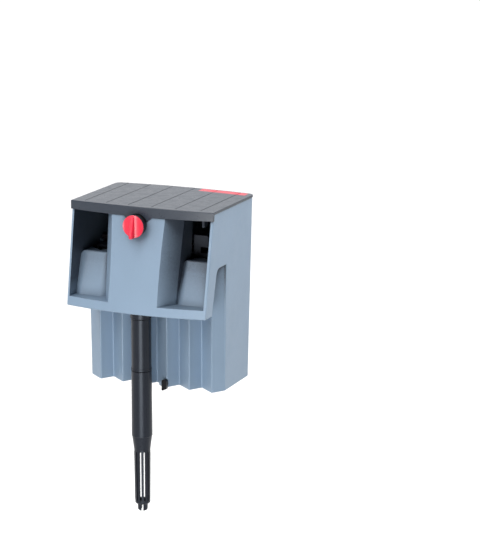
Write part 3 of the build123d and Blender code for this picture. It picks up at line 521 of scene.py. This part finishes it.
def pinch(obj, low, high, rim, seams=()):
    """Presses a block thin along its welded rim and along its level sewn seams."""
    middle = (low.y + high.y) / 2
    for vertex in obj.data.vertices:
        x, y, z = vertex.co
        inside = min(x - low.x, high.x - x, z - low.z, high.z - z)
        share = RIM_SHARE + (1 - RIM_SHARE) * ease((inside - RIM_WIDTH) / rim)
        for seam in seams:
            away = abs(z - (low.z + seam * (high.z - low.z)))
            share = min(share, SEAM_SHARE + (1 - SEAM_SHARE) * ease(away / SEAM_REACH))
        vertex.co.y = middle + (y - middle) * share


def swell(obj, cap):
    """Blows the piece up as cloth, with no point further than the cap."""
    scene = bpy.context.scene
    start = [vertex.co.copy() for vertex in obj.data.vertices]
    cloth = obj.modifiers.new("swell", "CLOTH")
    cloth.settings.use_pressure = True
    cloth.settings.uniform_pressure_force = CLOTH_PRESSURE
    cloth.settings.mass = CLOTH_MASS
    cloth.settings.effector_weights.gravity = 0
    cloth.point_cache.frame_start = 1
    cloth.point_cache.frame_end = CLOTH_FRAMES
    for step in range(1, CLOTH_FRAMES + 1):
        scene.frame_set(step)
    swollen = evaluated_mesh(obj)
    obj.modifiers.remove(cloth)
    scene.frame_set(1)
    for vertex, old, new in zip(obj.data.vertices, start, swollen.vertices):
        move = new.co - old
        if move.length > cap:
            move *= cap / move.length
        vertex.co = old + move
    bpy.data.meshes.remove(swollen)


def roughen(obj, depth, size):
    """Small lumps, as fibres or grains push the skin out."""
    lifts = [vertex.normal * depth * noise.noise(vertex.co / size) for vertex in obj.data.vertices]
    for vertex, lift in zip(obj.data.vertices, lifts):
        vertex.co += lift


def soft_piece(name, node, rim, cap, lumps, lump_size, seams=()):
    """Swollen fabric piece in the space of a right-hand soft CAD solid."""
    low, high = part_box(node)
    inset = Vector((cap, cap, cap)) + Vector((lumps, lumps, lumps))
    low, high = low + inset, high - inset
    obj = soft_block(name, low, high)
    pinch(obj, low, high, rim, seams)
    swell(obj, cap)
    rounder = obj.modifiers.new("rounder", "SUBSURF")
    rounder.levels = 1
    rounder.render_levels = 1
    bake_modifiers(obj)
    roughen(obj, lumps, lump_size)
    obj.data.polygons.foreach_set("use_smooth", [True] * len(obj.data.polygons))
    return obj


def mirrored(obj, name):
    """The same piece on the other side of the filter."""
    copy = bpy.data.objects.new(name, obj.data.copy())
    copy.data.transform(Matrix.Diagonal((-1, 1, 1, 1)))
    copy.data.flip_normals()
    bpy.context.scene.collection.objects.link(copy)
    return copy


def declare_soft(obj, node, finish):
    """Puts a soft piece in place of its CAD solid."""
    obj.data.materials.clear()
    obj.data.materials.append(finish)
    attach(obj, "housing")
    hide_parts(node)


def soft_pieces(finishes):
    """Fleece pads and carbon bags of the two cartridges: one of each is made, and mirrored."""
    fleece = soft_piece("fleece_pad_right", "filter_pad_right", rim=4 * MM, cap=0.6 * MM, lumps=0.12 * MM,
                        lump_size=2.5 * MM)
    pouch = soft_piece("carbon_pouch_right", "carbon_insert_right", rim=6 * MM, cap=0.6 * MM,
                       lumps=0.35 * MM, lump_size=2.2 * MM, seams=CARBON_SEAMS)
    for obj, kind, slot, fill in ((fleece, "filter_pad", "filter_fleece", 0.6),
                                  (pouch, "carbon_insert", "carbon_bag", 0.8)):
        other = mirrored(obj, obj.name.replace("right", "left"))
        declare_soft(obj, kind + "_right", finishes[slot])
        declare_soft(other, kind + "_left", finishes[slot])


soft_pieces(dress_cad_nodes())


# ---------------------------------------------------------------- stage

def shining(name, light, direction):
    """Puts a light into the scene, turned so that it shines that way."""
    obj = bpy.data.objects.new(name, light)
    obj.rotation_euler = Vector(direction).to_track_quat("-Z", "Y").to_euler()
    bpy.context.scene.collection.objects.link(obj)
    return obj


def softbox(name, place, target, side, power):
    """Square softbox that looks at a point."""
    light = bpy.data.lights.new(name, "AREA")
    light.shape = "SQUARE"
    light.size = side
    light.energy = power
    obj = shining(name, light, Vector(target) - Vector(place))
    obj.location = place
    obj.visible_camera = False


def overhead_sun():
    """Wide sun that keeps the floor white in every view."""
    light = bpy.data.lights.new("overhead", "SUN")
    light.energy = SUN_STRENGTH
    light.angle = radians(SUN_WIDTH)
    shining("overhead", light, SUN_DIRECTION)


def pale_floor(middle, bottom):
    """Round floor below the reach of the pulled-out intake."""
    travel = sum(max(joint["range_m"]) for joint in frame["joints"]
                 if joint["name"] in ("extension_pull", "strainer_pull"))
    mesh = bpy.data.meshes.new("floor")
    bm = bmesh.new()
    bmesh.ops.create_circle(bm, cap_ends=True, segments=96, radius=FLOOR_RADIUS)
    bm.to_mesh(mesh)
    bm.free()
    floor = bpy.data.objects.new("floor", mesh)
    floor.location = (middle.x, middle.y, bottom - travel - FLOOR_GAP)
    bpy.context.scene.collection.objects.link(floor)
    g = Graph("floor_paint")
    tone = g.mix(g.spread(g.noise(3, 3), 0, 1), (0.87, 0.87, 0.875), (0.90, 0.90, 0.90))
    mesh.materials.append(g.finish(tone, 0.85, g.bump(g.noise(600), 0.05 * MM)))
    # The floor's bounce would flatten the shading of the casing
    floor.visible_diffuse = False


def studio():
    """Pale floor, surroundings, four softboxes and an overhead sun."""
    low, high = cad_box
    middle = (low + high) / 2
    pale_floor(middle, low.z)
    surroundings()
    for name, (place, side, power) in SOFTBOXES.items():
        softbox(name, place, middle, side, power)
    overhead_sun()


def surroundings():
    """White behind the filter and black in front of it, as in a studio with a lit backdrop."""
    world = bpy.data.worlds.new("surroundings")
    world.use_nodes = True
    tree = world.node_tree
    direction = tree.nodes.new("ShaderNodeTexCoord")
    along = tree.nodes.new("ShaderNodeVectorMath")
    along.operation = "DOT_PRODUCT"
    along.inputs[1].default_value = BACKDROP
    level = tree.nodes.new("ShaderNodeMapRange")
    level.interpolation_type = "SMOOTHSTEP"
    for key, number in (("From Min", BACKDROP_TURN[0]), ("From Max", BACKDROP_TURN[1]),
                        ("To Min", FRONT_LEVEL), ("To Max", BACK_LEVEL)):
        level.inputs[key].default_value = number
    tree.links.new(direction.outputs["Generated"], along.inputs[0])
    tree.links.new(along.outputs["Value"], level.inputs["Value"])
    background = tree.nodes["Background"]
    background.inputs["Color"].default_value = (1.0, 1.0, 1.0, 1.0)
    tree.links.new(level.outputs["Result"], background.inputs["Strength"])
    bpy.context.scene.world = world


def camera():
    """Camera at the photograph's viewing angle."""
    yaw, pitch, roll = radians(CAMERA_YAW), radians(CAMERA_PITCH), radians(CAMERA_ROLL)
    ahead = Vector((-sin(yaw) * cos(pitch), cos(yaw) * cos(pitch), sin(pitch)))
    level = Vector((cos(yaw), sin(yaw), 0))
    right = level * cos(roll) + level.cross(ahead) * sin(roll)
    up = right.cross(ahead)
    data = bpy.data.cameras.new("camera")
    data.lens = LENS
    data.clip_end = CAMERA_CLIP_END
    obj = bpy.data.objects.new("camera", data)
    turn = Matrix((right, up, -ahead)).transposed().to_4x4()
    obj.matrix_world = Matrix.Translation(CAMERA_PLACE) @ turn
    bpy.context.scene.collection.objects.link(obj)
    bpy.context.scene.camera = obj


studio()
camera()
bpy.context.scene.view_settings.view_transform = "Standard"
